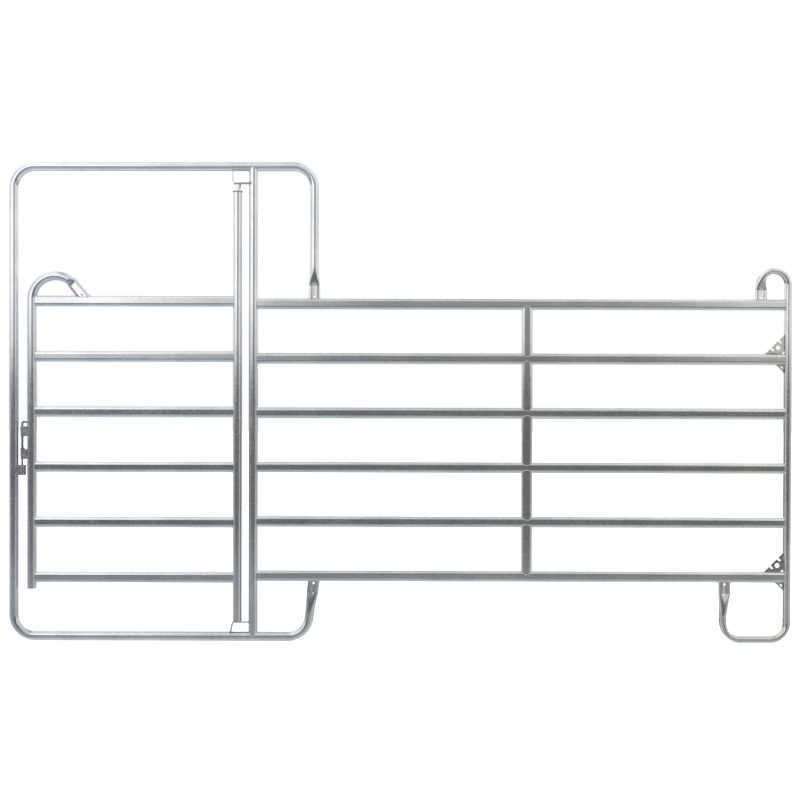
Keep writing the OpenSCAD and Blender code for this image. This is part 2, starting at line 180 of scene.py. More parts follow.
# a tree with named inputs: a word is a kind of socket, a number a size with its first value
def newTree(name, kind, inputs, outputs):
    tree = bpy.data.node_groups.new(name, kind)
    ids = {}
    for label, value in inputs.items():
        word = value if isinstance(value, str) else "Int" if isinstance(value, int) else "Float"
        socket = tree.interface.new_socket(label, in_out="INPUT", socket_type="NodeSocket" + word)
        ids[label] = socket.identifier
        if word is not value:
            socket.default_value = value
    for label, word in outputs.items():
        tree.interface.new_socket(label, in_out="OUTPUT", socket_type="NodeSocket" + word)
    return tree, namedTerms(tree.nodes.new("NodeGroupInput")), ids


def geometryTree(name, sizes):
    tree, size, ids = newTree(name, "GeometryNodeTree", {"Geometry": "Geometry", **sizes, "Material": "Material"},
                              {"Geometry": "Geometry"})
    return tree, size, ids, term(newNode(tree, "GeometryNodeMeshToCurve", {0: size["Geometry"]}))


def sweep(path, profile):
    return term(newNode(path.tree, "GeometryNodeCurveToMesh",
                        {"Curve": path, "Profile Curve": profile, "Fill Caps": True}))


def circle(tree, sides, radius):
    return term(newNode(tree, "GeometryNodeCurvePrimitiveCircle", {"Resolution": sides, "Radius": radius}))


def closeTree(size, geometry):
    tree = geometry.tree
    smooth = newNode(tree, "GeometryNodeSetShadeSmooth", {"Geometry": geometry})
    real = newNode(tree, "GeometryNodeRealizeInstances", {0: term(smooth)})
    paint = newNode(tree, "GeometryNodeSetMaterial", {"Geometry": term(real), "Material": size["Material"]})
    newNode(tree, "NodeGroupOutput", {0: term(paint)})


def addObject(name, data):
    obj = bpy.data.objects.new(name, data)
    scene.collection.objects.link(obj)
    return obj


def meshFrom(bm, name):
    mesh = bpy.data.meshes.new(name)
    bm.to_mesh(mesh)
    bm.free()
    return mesh


def lineObject(name, runs, across=None, squeeze=None):
    verts, edges = [], []
    for points, closed in runs:
        first = len(verts)
        verts += [tuple(p) for p in points]
        edges += [(k, k + 1) for k in range(first, len(verts) - 1)]
        if closed:
            edges.append((len(verts) - 1, first))
    mesh = bpy.data.meshes.new(name)
    mesh.from_pydata(verts, edges, [])
    if across:
        attribute = mesh.attributes.new("across", "FLOAT_VECTOR", "POINT")
        attribute.data.foreach_set("vector", [c for v in across for c in v])
        attribute = mesh.attributes.new("squeeze", "FLOAT", "POINT")
        attribute.data.foreach_set("value", squeeze)
    return addObject(name, mesh)


def plainMesh(obj):
    graph = bpy.context.evaluated_depsgraph_get()
    mesh = bpy.data.meshes.new_from_object(obj.evaluated_get(graph))
    obj.modifiers.clear()
    old = obj.data
    obj.data = mesh
    mesh.name = obj.name
    bpy.data.meshes.remove(old)
    return obj


def growNodes(obj, tree, ids, sizes, material):
    modifier = obj.modifiers.new("grow", "NODES")
    modifier.node_group = tree
    for label, value in sizes.items():
        modifier[ids[label]] = value
    modifier[ids["Material"]] = material
    return plainMesh(obj)


def tidyMesh(obj, sharp=50):
    bm = bmesh.new()
    bm.from_mesh(obj.data)
    bmesh.ops.remove_doubles(bm, verts=bm.verts, dist=1e-6)
    bmesh.ops.recalc_face_normals(bm, faces=bm.faces)
    for face in bm.faces:
        face.smooth = True
    for edge in bm.edges:
        edge.smooth = len(edge.link_faces) != 2 or edge.calc_face_angle(0) < math.radians(sharp)
    bm.to_mesh(obj.data)
    bm.free()
    return obj


def finishPiece(obj, body, slot, *replaced):
    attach(obj, body)
    if replaced:
        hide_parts(*replaced)
    print(obj.name + ":", len(obj.data.polygons), "faces")


# shader groups for the hot-dip zinc
groupValues = dict(wobbleScale=160.0, fineBy=2.7, coarseShare=0.65, fineShare=0.35, borderWide=0.12,
                   cloudRange=(0.3, 0.7), runScale=95.0, runRange=(0.35, 0.68), speckRange=(0.08, 0.26),
                   rubScale=22.0, rubRange=(0.52, 0.72))


def shaderGroup(name, sizes, outputs):
    return newTree(name, "ShaderNodeTree", {"Vector": "Vector", **sizes}, dict.fromkeys(outputs, "Float"))[:2]


def useGroup(group, place, **sizes):
    node = newNode(place.tree, "ShaderNodeGroup", {"Vector": place, **sizes}, node_tree=group)
    return [Term(socket) for socket in node.outputs]


def noise(vector, scale, detail, rough, label=0):
    inputs = {"Vector": vector, "Scale": scale, "Detail": detail, "Roughness": rough}
    return term(newNode(vector.tree, "ShaderNodeTexNoise", inputs), label)


def cells(vector, scale, feature="F1"):
    return namedTerms(newNode(vector.tree, "ShaderNodeTexVoronoi", {"Vector": vector, "Scale": scale},
                              feature=feature))


# crystal patches: each cell has its own brightness, with a soft wobble in the cell borders
def spangleGroup():
    v = groupValues
    tree, given = shaderGroup("zincSpangle", {"Scale": 110.0, "Wobble": 0.004}, ("Patch", "Border"))
    wobble = vecMath("SUBTRACT", noise(given["Vector"], v["wobbleScale"], 2.0, 0.5, "Color"), (0.5, 0.5, 0.5))
    place = vecMath("ADD", given["Vector"], vecMath("SCALE", wobble, given["Wobble"]))
    coarse = split(cells(place, given["Scale"])["Color"], "Color")
    fine = split(cells(place, given["Scale"] * v["fineBy"])["Color"], "Color")
    edge = cells(place, given["Scale"], "DISTANCE_TO_EDGE")["Distance"]
    newNode(tree, "NodeGroupOutput", {"Patch": coarse[0] * v["coarseShare"] + fine[1] * v["fineShare"],
                                      "Border": ramp(edge, 0.0, v["borderWide"], 1.0, 0.0, "SMOOTHSTEP")})
    return tree


# slow clouds in the zinc, and runs that hang down a little
def cloudGroup():
    v = groupValues
    tree, given = shaderGroup("zincClouds", {"Size": 0.12, "Run": 0.25}, ("Cloud", "Run"))
    cloud = noise(given["Vector"], calc("DIVIDE", 1.0, given["Size"]), 2.0, 0.45)
    x, y, z = split(given["Vector"])
    hung = newNode(tree, "ShaderNodeCombineXYZ", {0: x, 1: y, 2: z * given["Run"]})
    run = noise(term(hung), v["runScale"], 4.0, 0.6)
    newNode(tree, "NodeGroupOutput", {"Cloud": ramp(cloud, *v["cloudRange"]), "Run": ramp(run, *v["runRange"])})
    return tree


# handling: sparse dark specks, and rubbed dull patches
def handlingGroup():
    v = groupValues
    tree, given = shaderGroup("zincHandling", {"Specks": 0.05, "Speck Scale": 70.0}, ("Speck", "Rub"))
    spot = cells(given["Vector"], given["Speck Scale"])
    few = calc("LESS_THAN", split(spot["Color"], "Color")[2], given["Specks"])
    dot = ramp(spot["Distance"], *v["speckRange"], 1.0, 0.0, "SMOOTHSTEP")
    rub = noise(given["Vector"], v["rubScale"], 6.0, 0.7)
    newNode(tree, "NodeGroupOutput", {"Speck": few * dot, "Rub": ramp(rub, *v["rubRange"])})
    return tree


spangle = spangleGroup()
clouds = cloudGroup()
handling = handlingGroup()

# painted light in every zinc: a painted light tint from cool at the gate to a little warm at the foot, painted shade
# darker near the ground, a painted highlight brighter at the head
paintedLightValues = dict(gateLightTint=(0.975, 0.992, 1.035), footLightTint=(1.02, 1.008, 0.97), low=0.88, lowRange=(0.02, 0.3),
                   head=1.1, headHighlightRange=(2.0, 2.25))
zincBase = dict(cool=(0.61, 0.632, 0.655), warm=(0.655, 0.667, 0.672), metal=1.0, rough=0.14, roughSwing=0.03,
                rubRough=0.04, speckRough=0.2, spangleScale=95.0, spangleDepth=0.05, borderDepth=0.03,
                cloudSize=0.16, cloudDepth=0.05, runDepth=0.05, specks=0.02, speckDepth=0.3, wave=0.00012,
                relief=0.00001)
zincLooks = dict(
    tubeZinc={},
    railZinc=dict(cloudSize=0.22, specks=0.03, wave=0.00014),
    plateZinc=dict(cool=(0.64, 0.66, 0.67), warm=(0.7, 0.7, 0.68), rough=0.18, spangleScale=140.0, cloudSize=0.05,
                   wave=0.0001),
    # a darker copy of the plate zinc for the lower chain plate: a painted dark reflection
    paintedReflectionPlateZinc=dict(cool=(0.4, 0.42, 0.425), warm=(0.46, 0.465, 0.45), rough=0.2, spangleScale=140.0,
                       cloudSize=0.05, wave=0.0001),
    # darker than the tube zinc in a painted dark reflection, with a coarser mottle and specks of its own
    paintedReflectionStrapZinc=dict(cool=(0.43, 0.45, 0.47), warm=(0.57, 0.58, 0.58), rough=0.24, spangleScale=200.0,
                   spangleDepth=0.22, cloudSize=0.014, cloudDepth=0.2, runDepth=0.2, specks=0.12, wave=0.0002),
    # darker than the tube zinc in a painted dark reflection
    paintedReflectionRodZinc=dict(cool=(0.27, 0.285, 0.3), warm=(0.4, 0.4, 0.4), rough=0.32, spangleScale=220.0, cloudSize=0.02,
                 cloudDepth=0.12, wave=0.00006),
    # nearly black: a painted shade over the whole coil
    paintedShadeSpringZinc=dict(cool=(0.11, 0.115, 0.12), warm=(0.2, 0.2, 0.2), rough=0.34, spangleScale=220.0, cloudSize=0.01,
                    cloudDepth=0.15),
    weldZinc=dict(cool=(0.5, 0.52, 0.54), warm=(0.64, 0.65, 0.65), rough=0.3, spangleScale=260.0,
                  spangleDepth=0.16, cloudSize=0.02, cloudDepth=0.12, specks=0.1, wave=0.0004, relief=0.0001),
    # the weld lumps dark in a painted shade, as in the gaps and corners they sit in
    paintedShadeLumpZinc=dict(cool=(0.2, 0.21, 0.22), warm=(0.5, 0.5, 0.5), rough=0.36, spangleScale=260.0, spangleDepth=0.25,
                  cloudSize=0.012, cloudDepth=0.25, specks=0.15, wave=0.0006, relief=0.0002),
    # a much brighter copy for the upper hinge pin: a painted highlight
    pinZinc=dict(cool=(0.86, 0.87, 0.88), warm=(0.9, 0.9, 0.89), rough=0.2))


def newPaint(name):
    material = bpy.data.materials.new(name)
    material.use_nodes = True
    return material, material.node_tree


def makeZinc(name, v):
    material, tree = newPaint(name)
    place = term(tree.nodes.new("ShaderNodeTexCoord"), "Object")
    patch, border = useGroup(spangle, place, Scale=v["spangleScale"])
    cloud, run = useGroup(clouds, place, Size=v["cloudSize"])
    speck, rub = useGroup(handling, place, Specks=v["specks"])
    tone = ramp(patch, 0.15, 0.85, 1 - v["spangleDepth"], 1 + v["spangleDepth"])
    tone = tone * ramp(cloud, 0.0, 1.0, 1 - v["cloudDepth"], 1 + v["cloudDepth"])
    for mask, depth in ((run, "runDepth"), (border, "borderDepth"), (speck, "speckDepth")):
        tone = tone * ramp(mask, 0.0, 1.0, 1.0, 1 - v[depth])
    d = paintedLightValues
    x, y, z = split(place)
    # painted shade darker near the ground, painted highlight brighter at the head
    tone = tone * ramp(z, *d["lowRange"], d["low"], 1.0) * ramp(z, *d["headHighlightRange"], 1.0, d["head"])
    # a painted light tint: cool at the gate, a little warm at the foot
    paintedLightTint = blendTint(ramp(x, uprightX, endX), d["gateLightTint"], d["footLightTint"])
    colour = vecMath("MULTIPLY", blendTint(cloud, v["cool"], v["warm"]), paintedLightTint)
    rough = ramp(patch, 0.1, 0.9, v["rough"] - v["roughSwing"], v["rough"] + v["roughSwing"])
    height = cloud * v["wave"] + patch * v["relief"]
    bump = newNode(tree, "ShaderNodeBump", {"Strength": 1.0, "Distance": 1.0, "Height": height})
    shader = tree.nodes["Principled BSDF"].inputs
    put(shader["Base Color"], vecMath("SCALE", colour, tone))
    put(shader["Roughness"], rough + rub * v["rubRough"] + speck * v["speckRough"])
    put(shader["Metallic"], v["metal"])
    put(shader["Normal"], term(bump))
    return material


zinc = {name: makeZinc(name, {**zincBase, **look}) for name, look in zincLooks.items()}
specialPaint = {"bolt_keeper": "paintedReflectionStrapZinc", "upper_bolt_guide": "paintedReflectionStrapZinc", "lower_bolt_guide": "paintedReflectionStrapZinc",
                "upper_hinge_pin": "pinZinc", "lower_chain_plate": "paintedReflectionPlateZinc"}
slotPaint = {"zinc_tube": "tubeZinc", "zinc_plate": "plateZinc", "zinc_rod": "paintedReflectionRodZinc"}


def paintFor(name, materials):
    if "_rail_" in name:
        return zinc["railZinc"]
    slot = materials[0].name.split(".")[0] if materials else ""
    return zinc[specialPaint.get(name) or slotPaint.get(slot, "tubeZinc")]


for name, obj in nodes.items():
    paint = paintFor(name, obj.data.materials)
    obj.data.materials.clear()
    obj.data.materials.append(paint)
print("zinc materials:", len(bpy.data.materials))

# the bent tubes: a section swept on its path, its girth kept where the end is pressed flat
pressValues = dict(pressDepth=0.020, flat=0.05, topFlat=0.06, archFlat=0.043, roundTaper=0.11, lowTaper=0.1,
                   ovalTaper=0.1, ease=1.7, topEase=2.4, sink=0.004, groove=0.006, archGroove=0.004,
                   lowGroove=0.0015, footGroove=0.003, grooveWidth=0.0092, drainR=0.0055, drainUp=0.008,
                   drainTool=0.06)
tubeSizes = {"Stock Width": roundD, "Stock Depth": roundD, "Press Depth": pressValues["pressDepth"],
             "Flat Start": 0.05, "Taper Start": 0.1, "Ease Start": 1.0, "Groove Start": 0.0, "Flat End": 0.05,
             "Taper End": 0.1, "Ease End": 1.0, "Groove End": 0.0, "Groove Width": pressValues["grooveWidth"],
             "Squeeze By": 0.0, "Sides": 64}


def capture(geometry, **fields):
    node = newNode(geometry.tree, "GeometryNodeCaptureAttribute", {"Geometry": geometry})
    for label, (kind, value) in fields.items():
        node.capture_items.new(kind, label)
        put(node.inputs[label], value)
    return namedTerms(node)


def pressedTubeTree():
    tree, size, ids, curve = geometryTree("pressedTube", tubeSizes)

    def read(kind, label=0):
        return term(tree.nodes.new("GeometryNode" + kind), label)

    def attribute(label, kind):
        return term(newNode(tree, "GeometryNodeInputNamedAttribute", {"Name": label}, data_type=kind))

    path = capture(curve, centre=("VECTOR", read("InputPosition")),
                   along=("FLOAT", read("SplineParameter", "Length")),
                   whole=("FLOAT", read("SplineLength", "Length")))
    ring = capture(circle(tree, size["Sides"], 0.02), turn=("FLOAT", read("InputIndex") / size["Sides"]))
    skin = sweep(path["Geometry"], ring["Geometry"])
    across = attribute("across", "FLOAT_VECTOR")
    squeeze = attribute("squeeze", "FLOAT") * size["Squeeze By"]
    presses = []
    for end, reach in (("Start", path["along"]), ("End", path["whole"] - path["along"])):
        share = ramp(reach, size["Flat " + end], size["Flat " + end] + size["Taper " + end], 1.0, 0.0)
        presses.append(calc("POWER", share, size["Ease " + end]))
    stockW, stockD = size["Stock Width"], size["Stock Depth"]
    girth = calc("MINIMUM", stockW, stockD) * math.pi + abs(stockW - stockD) * 2.0
    depth = stockD + calc("MAXIMUM", *presses) * (size["Press Depth"] - stockD)
    depth = depth + squeeze * ((math.pi - 2) / 2)
    tall = (girth - depth * 2.0) / (math.pi - 2)
    flat = depth + (girth - depth * math.pi) / 2.0
    isTall = calc("GREATER_THAN", depth, girth / math.pi)
    width = isTall * tall + (1.0 - isTall) * flat
    runU = calc("MAXIMUM", width - depth, 0.0)
    runV = calc("MAXIMUM", depth - width, 0.0)
    radius = calc("MINIMUM", width, depth) / 2.0
    quarter = radius * (math.pi / 2)
    place = ring["turn"] * girth

    def stop(halfV, arcs, flats):
        return runV * (halfV / 2) + quarter * float(arcs) + runU * float(flats)

    def walk(start, end, size=1.0):
        return ramp(place, stop(*start), stop(*end), 0.0, size)

    # the outline walks: half a side, arc, flat, arc, side, arc, flat, arc, half a side
    angle = walk((1, 0, 0), (1, 1, 0)) + walk((1, 1, 1), (1, 2, 1))
    angle = (angle + walk((3, 2, 1), (3, 3, 1)) + walk((3, 3, 2), (3, 4, 2))) * (math.pi / 2)
    slideU = walk((3, 3, 1), (3, 3, 2)) + 0.5 - walk((1, 1, 0), (1, 1, 1))
    slideV = ramp(place, 0.0, stop(1, 0, 0), 0.0, 0.5) - walk((1, 2, 1), (3, 2, 1))
    slideV = slideV + walk((3, 4, 2), (4, 4, 2), 0.5)
    u = runU * slideU + radius * calc("COSINE", angle)
    v = runV * slideV + radius * calc("SINE", angle)
    # groove along the middle of a pressed flat
    dip = ramp(abs(u), 0.0, size["Groove Width"], 1.0, 0.0, "SMOOTHSTEP")
    deep = ramp(presses[0], 0.9, 1.0) * size["Groove Start"] + ramp(presses[1], 0.9, 1.0) * size["Groove End"]
    v = v * (1.0 - dip * (deep / (depth / 2.0)))
    spot = vecMath("ADD", path["centre"], vecMath("SCALE", across, u + squeeze / 2.0))
    spot = vecMath("ADD", spot, term(newNode(tree, "ShaderNodeCombineXYZ", {1: v})))
    tube = term(newNode(tree, "GeometryNodeSetPosition", {"Geometry": skin, "Position": spot}))
    for label in ("across", "squeeze"):
        tube = term(newNode(tree, "GeometryNodeRemoveAttribute", {"Geometry": tube, "Name": label}))
    closeTree(size, tube)
    return tree, ids


pressedTube = pressedTubeTree()


class TubePath:
    def __init__(self):
        self.points, self.across, self.squeeze = [], [], []

    def add(self, x, z, headX, headZ, squeeze=0.0):
        size = math.hypot(headX, headZ)
        self.points.append((x, 0.0, z))
        self.across.append((-headZ / size, 0.0, headX / size))
        self.squeeze.append(squeeze)

    # distances are measured from a seat on the line that leaves it
    def along(self, seat, head, distances, sign=1):
        for d in distances:
            self.add(seat[0] + head[0] * d, seat[1] + head[1] * d, head[0] * sign, head[1] * sign)

    # angles in degrees
    def bend(self, centre, radius, start, end, squeeze=None):
        steps = max(2, round(abs(end - start) / 4))
        way = 1 if end > start else -1
        for k in range(steps + 1):
            a = math.radians(start + (end - start) * k / steps)
            pull = squeeze(k / steps) if squeeze else 0.0
            self.add(centre[0] + radius * math.cos(a), centre[1] + radius * math.sin(a),
                     -math.sin(a) * way, math.cos(a) * way, pull)

    def straight(self, start, end, pitch=0.06):
        count = max(2, round(math.dist(start, end) / pitch))
        run = (end[0] - start[0], end[1] - start[1])
        for k in range(1, count):
            self.add(start[0] + run[0] * k / count, start[1] + run[1] * k / count, *run)


# stations along a pressed end: close together where flat and taper start and stop
stopValues = dict(flatParts=5, taperParts=9, near=0.002, after=0.005, beyond=0.003, room=0.004)


def flatStops(sink, flat):
    count = stopValues["flatParts"]
    return [-sink, 0.0] + [flat * k / count for k in range(1, count)] + [flat - stopValues["near"], flat]


def endStops(sink, flat, taper):
    count, near = stopValues["taperParts"], stopValues["near"]
    stops = flatStops(sink, flat) + [flat + near, flat + stopValues["after"]]
    stops += [flat + taper * k / count for k in range(1, count)]
    return stops + [flat + taper - near, flat + taper, flat + taper + stopValues["beyond"]]


def endSizes(end, flat, taper, ease, groove):
    return {"Flat " + end: flat, "Taper " + end: taper, "Ease " + end: ease, "Groove " + end: groove}


def drain(x, z):
    return (x, 0, z), (0, 1, 0), pressValues["drainR"], pressValues["drainTool"]


def cutCylinder(obj, centre, axis, radius, length):
    bm = bmesh.new()
    turn = Vector((0, 0, 1)).rotation_difference(Vector(axis)).to_matrix().to_4x4()
    bmesh.ops.create_cone(bm, cap_ends=True, segments=32, radius1=radius, radius2=radius, depth=length,
                          matrix=Matrix.Translation(centre) @ turn)
    mesh = meshFrom(bm, "cut")
    tool = addObject("cut", mesh)
    modifier = obj.modifiers.new("cut", "BOOLEAN")
    modifier.object = tool
    modifier.operation = "DIFFERENCE"
    modifier.solver = "EXACT"
    plainMesh(obj)
    bpy.data.objects.remove(tool)
    bpy.data.meshes.remove(mesh)


def sweepTube(name, body, node, path, sizes, cuts):
    obj = lineObject(name, [(path.points, False)], path.across, path.squeeze)
    growNodes(obj, *pressedTube, {**tubeSizes, **sizes}, zinc["tubeZinc"])
    for cut in cuts:
        cutCylinder(obj, *cut)
    finishPiece(tidyMesh(obj), body, "zinc_tube", node)


def pressedWidth(width, depth):
    girth = math.pi * min(width, depth) + 2 * abs(width - depth)
    return pressValues["pressDepth"] + (girth - math.pi * pressValues["pressDepth"]) / 2


# gate frame: down onto the top rail at one end, up to the bottom rail at the other
frameValues = dict(bendR=0.097, lean=7.5)
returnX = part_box("gate_frame")[1][0] - pressedWidth(roundD, roundD) / 2


def makeFrameTube():
    r, lean = frameValues["bendR"], math.radians(frameValues["lean"])
    press = pressValues
    sink, flat, topFlat, topTaper = (press[k] for k in ("sink", "flat", "topFlat", "roundTaper"))
    path = TubePath()
    path.along((returnX, topSeatZ), (0, 1), endStops(sink, topFlat, topTaper))
    path.straight((returnX, topSeatZ + topFlat + topTaper + stopValues["beyond"]), (returnX, headZ - r))
    path.bend((returnX - r, headZ - r), r, 0, 90)
    path.straight((returnX - r, headZ), (uprightX + r, headZ))
    path.bend((uprightX + r, headZ - r), r, 90, 180)
    path.straight((uprightX, headZ - r), (uprightX, sillZ + r))
    path.bend((uprightX + r, sillZ + r), r, 180, 270)
    # the lower leg leans away from the seat on the bottom rail
    low = (returnX, lowSeatZ)
    bendZ = sillZ + r - r * math.sin(lean)
    reach = (lowSeatZ - bendZ) / math.cos(lean)
    bendEnd = (returnX - math.sin(lean) * reach, bendZ)
    centre = (bendEnd[0] - r * math.cos(lean), sillZ + r)
    path.straight((uprightX + r, sillZ), (centre[0], sillZ))
    path.bend(centre, r, 270, 360 - frameValues["lean"])
    away = ((bendEnd[0] - low[0]) / reach, (bendEnd[1] - low[1]) / reach)
    taper = min(press["lowTaper"], reach - flat - stopValues["room"])
    path.along(low, away, reversed(endStops(sink, flat, taper)[:-1]), -1)
    sizes = {**endSizes("Start", topFlat + sink, topTaper, press["topEase"], press["groove"]),
             **endSizes("End", flat + sink, taper, press["ease"], press["lowGroove"])}
    up = press["drainUp"]
    cuts = [drain(returnX, topSeatZ + up), drain(low[0] + away[0] * up, low[1] + away[1] * up)]
    sweepTube("frameTube", "panel", "gate_frame", path, sizes, cuts)


makeFrameTube()

# end post: arched over at the top, bent into a foot below, both ends pressed onto rails
endValues = dict(archR=0.065, archTurn=140, seatIn=0.1232, leadParts=16, footR=0.080, footPressIn=0.007, thin=0.005,
                 archThin=0.8, footThin=0.8, legPitch=0.08, footPitch=0.03)


# a smooth lead from the pressed flat into the arch: place and heading at share t
def leadAt(t, start, end, headEnd):
    pull = math.dist(start, end)
    spot = (2 * t**3 - 3 * t**2 + 1, t**3 - 2 * t**2 + t, -2 * t**3 + 3 * t**2, t**3 - t**2)
    head = (6 * t**2 - 6 * t, 3 * t**2 - 4 * t + 1, -6 * t**2 + 6 * t, 3 * t**2 - 2 * t)
    return [[w[0] * start[i] + w[1] * pull * (0, 1)[i] + w[2] * end[i] + w[3] * pull * headEnd[i]
             for i in (0, 1)] for w in (spot, head)]


def makeEndTube():
    v, press = endValues, pressValues
    sink, flat, archFlat = press["sink"], press["flat"], press["archFlat"]
    r, turn = v["archR"], math.radians(v["archTurn"])
    centre = (endX - r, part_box("end_post")[1][2] - r - ovalT / 2)
    archEnd = (centre[0] + r * math.cos(turn), centre[1] + r * math.sin(turn))
    seat = (endX - v["seatIn"], topSeatZ)
    path = TubePath()
    path.along(seat, (0, 1), flatStops(sink, archFlat))
    start = (seat[0], seat[1] + archFlat)
    leadSpots = [start]
    for k in range(1, v["leadParts"]):
        spot, head = leadAt(k / v["leadParts"], start, archEnd, (math.sin(turn), -math.cos(turn)))
        leadSpots.append(spot)
        path.add(*spot, *head)
    taper = sum(math.dist(a, b) for a, b in zip(leadSpots, leadSpots[1:] + [archEnd]))
    path.bend(centre, r, v["archTurn"], 0, lambda t: math.sin(math.pi * t) ** v["archThin"])
    footR, footZ = v["footR"], ovalT / 2

    def crimp(t):
        return v["footThin"] * math.sin(math.pi * t)

    path.straight((endX, centre[1]), (endX, footZ + footR), v["legPitch"])
    path.bend((endX - footR, footZ + footR), footR, 0, -90, crimp)
    path.straight((endX - footR, footZ), (footX + footR, footZ), v["footPitch"])
    path.bend((footX + footR, footZ + footR), footR, 270, 180, crimp)
    taperEnd = min(press["ovalTaper"], lowSeatZ - footZ - footR - flat - stopValues["room"])
    for d in reversed(endStops(sink, flat, taperEnd)[:-1]):
        share = min(max((d - flat) / taperEnd, 0), 1)
        path.add(footX + v["footPressIn"] * (1 - share), lowSeatZ - d, 0, 1)
    footSeat = (footX + v["footPressIn"], lowSeatZ)
    sizes = {"Stock Width": ovalT, "Stock Depth": ovalW, "Squeeze By": v["thin"],
             **endSizes("Start", archFlat + sink, taper, 1.0, press["archGroove"]),
             **endSizes("End", flat + sink, taperEnd, press["ease"], press["footGroove"])}
    cuts = [drain(seat[0], seat[1] + press["drainUp"]), drain(footSeat[0], lowSeatZ - press["drainUp"])]
    sweepTube("endTube", "panel", "end_post", path, sizes, cuts)
    return seat, footSeat


archSeat, footSeat = makeEndTube()

# latch stile: open foot, arched over at the top, its end bent down onto the top gate rail
latchValues = dict(archR=0.108, turnEnd=40, pressDepth=0.026, flat=0.074, taper=0.018, sink=0.028, wall=0.0026,
                   bore=0.09, footStep=0.004, pitch=0.08, endParts=24, slitR=0.0035, slitDeep=0.014, slitTool=0.04,
                   slitUp=(0.0, 0.005))


def makeLatchTube():
    latch = latchValues
    low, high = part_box("latch_stile")
    r = latch["archR"]
    centre = (stileX + r, high[2] - roundR - r)
    a = math.radians(latch["turnEnd"])
    start = (centre[0] + r * math.cos(a), centre[1] + r * math.sin(a))
    head = (math.sin(a), -math.cos(a))
    railTop = gateLevels[5] + ovalW / 2
    reach = (start[1] - railTop) / math.cos(a)
    path = TubePath()
    foot = (stileX, low[2] + latch["footStep"])
    path.add(stileX, low[2], 0, 1)
    path.add(*foot, 0, 1)
    path.straight(foot, (stileX, centre[1]), latch["pitch"])
    path.bend(centre, r, 180, latch["turnEnd"])
    count = latch["endParts"]
    path.along(start, head, [(reach + latch["sink"]) * k / count for k in range(1, count + 1)])
    seat = (start[0] + head[0] * reach, railTop)
    # the foot isn't pressed
    sizes = {"Press Depth": latch["pressDepth"], **endSizes("Start", -1.0, 0.1, 1.0, 0.0),
             **endSizes("End", latch["flat"] + latch["sink"], latch["taper"], 1.0, 0.0)}
    # a short drain slit above the seat, cut from the front only
    slitY = -latch["pressDepth"] / 2 - latch["slitTool"] / 2 + latch["slitDeep"]
    cuts = [((stileX, 0, low[2]), (0, 0, 1), roundR - latch["wall"], 2 * latch["bore"])]
    cuts += [((seat[0] - head[0] * d, slitY, seat[1] - head[1] * d), (0, 1, 0), latch["slitR"], latch["slitTool"])
             for d in latch["slitUp"]]
    sweepTube("latchTube", "gate", "latch_stile", path, sizes, cuts)
    return seat


latchSeat = makeLatchTube()

# drop bolt: one rod, bent over at the top into a handle, its ends rounded in rings of scale and depth
boltValues = dict(bendR=0.012, handleTurn=48, round=0.0022, rings=((0.55, 0.0), (0.85, 0.35), (1.0, 1.0)),
                  tipIn=0.6, stemParts=30, bendParts=12, handleParts=8, sides=20)


def makeDropBolt():
    v = boltValues
    low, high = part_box("drop_bolt")
    top = high[2] - boltR
    side = math.radians(-v["handleTurn"])
    out = Vector((math.cos(side), math.sin(side), 0))
    r, base = v["bendR"], Vector((boltX, 0, 0))
    count = v["stemParts"]
    points = [base + Vector((0, 0, low[2] + (top - r - low[2]) * k / count)) for k in range(count + 1)]
    for k in range(1, v["bendParts"] + 1):
        a = math.radians(180 - 90 * k / v["bendParts"])
        points.append(base + out * (r + r * math.cos(a)) + Vector((0, 0, top - r + r * math.sin(a))))
    reach = (high[0] - boltX) / math.cos(side) - boltR * v["tipIn"]
    count = v["handleParts"]
    points += [base + out * (r + (reach - r) * k / count) + Vector((0, 0, top)) for k in range(1, count + 1)]
    last, sides = len(points) - 1, v["sides"]
    ends = [(scale, v["round"] * deep) for scale, deep in v["rings"]]
    stops = [(0, *end) for end in ends] + [(k, 1.0, 0.0) for k in range(1, last)]
    stops += [(last, scale, -deep) for scale, deep in reversed(ends)]
    bm = bmesh.new()
    rings = []
    yAxis = out.cross(Vector((0, 0, 1)))
    for k, scale, shift in stops:
        ahead = (points[min(k + 1, last)] - points[max(k - 1, 0)]).normalized()
        up = yAxis.cross(ahead)
        rings.append([bm.verts.new(points[k] + ahead * shift
                                   + (yAxis * math.cos(t) + up * math.sin(t)) * boltR * scale)
                      for t in (2 * math.pi * j / sides for j in range(sides))])
    for a, b in zip(rings, rings[1:]):
        for j in range(sides):
            bm.faces.new((a[j], a[(j + 1) % sides], b[(j + 1) % sides], b[j]))
    bm.faces.new(rings[0])
    bm.faces.new(rings[-1])
    obj = addObject("dropBolt", meshFrom(bm, "dropBolt"))
    obj.data.materials.append(zinc["paintedReflectionRodZinc"])
    finishPiece(tidyMesh(obj), "bolt", "zinc_rod", "drop_bolt")


makeDropBolt()

# bolt spring: a coil with closed ends, from nodes
springSizes = {"Turns": 8.0, "Mean Radius": 0.0066, "Wire": 0.0022, "Low": 0.886, "High": 0.9372, "Steps": 240}
springValues = dict(endShare=0.11, endRise=0.85, gap=0.0002, wireSides=10)


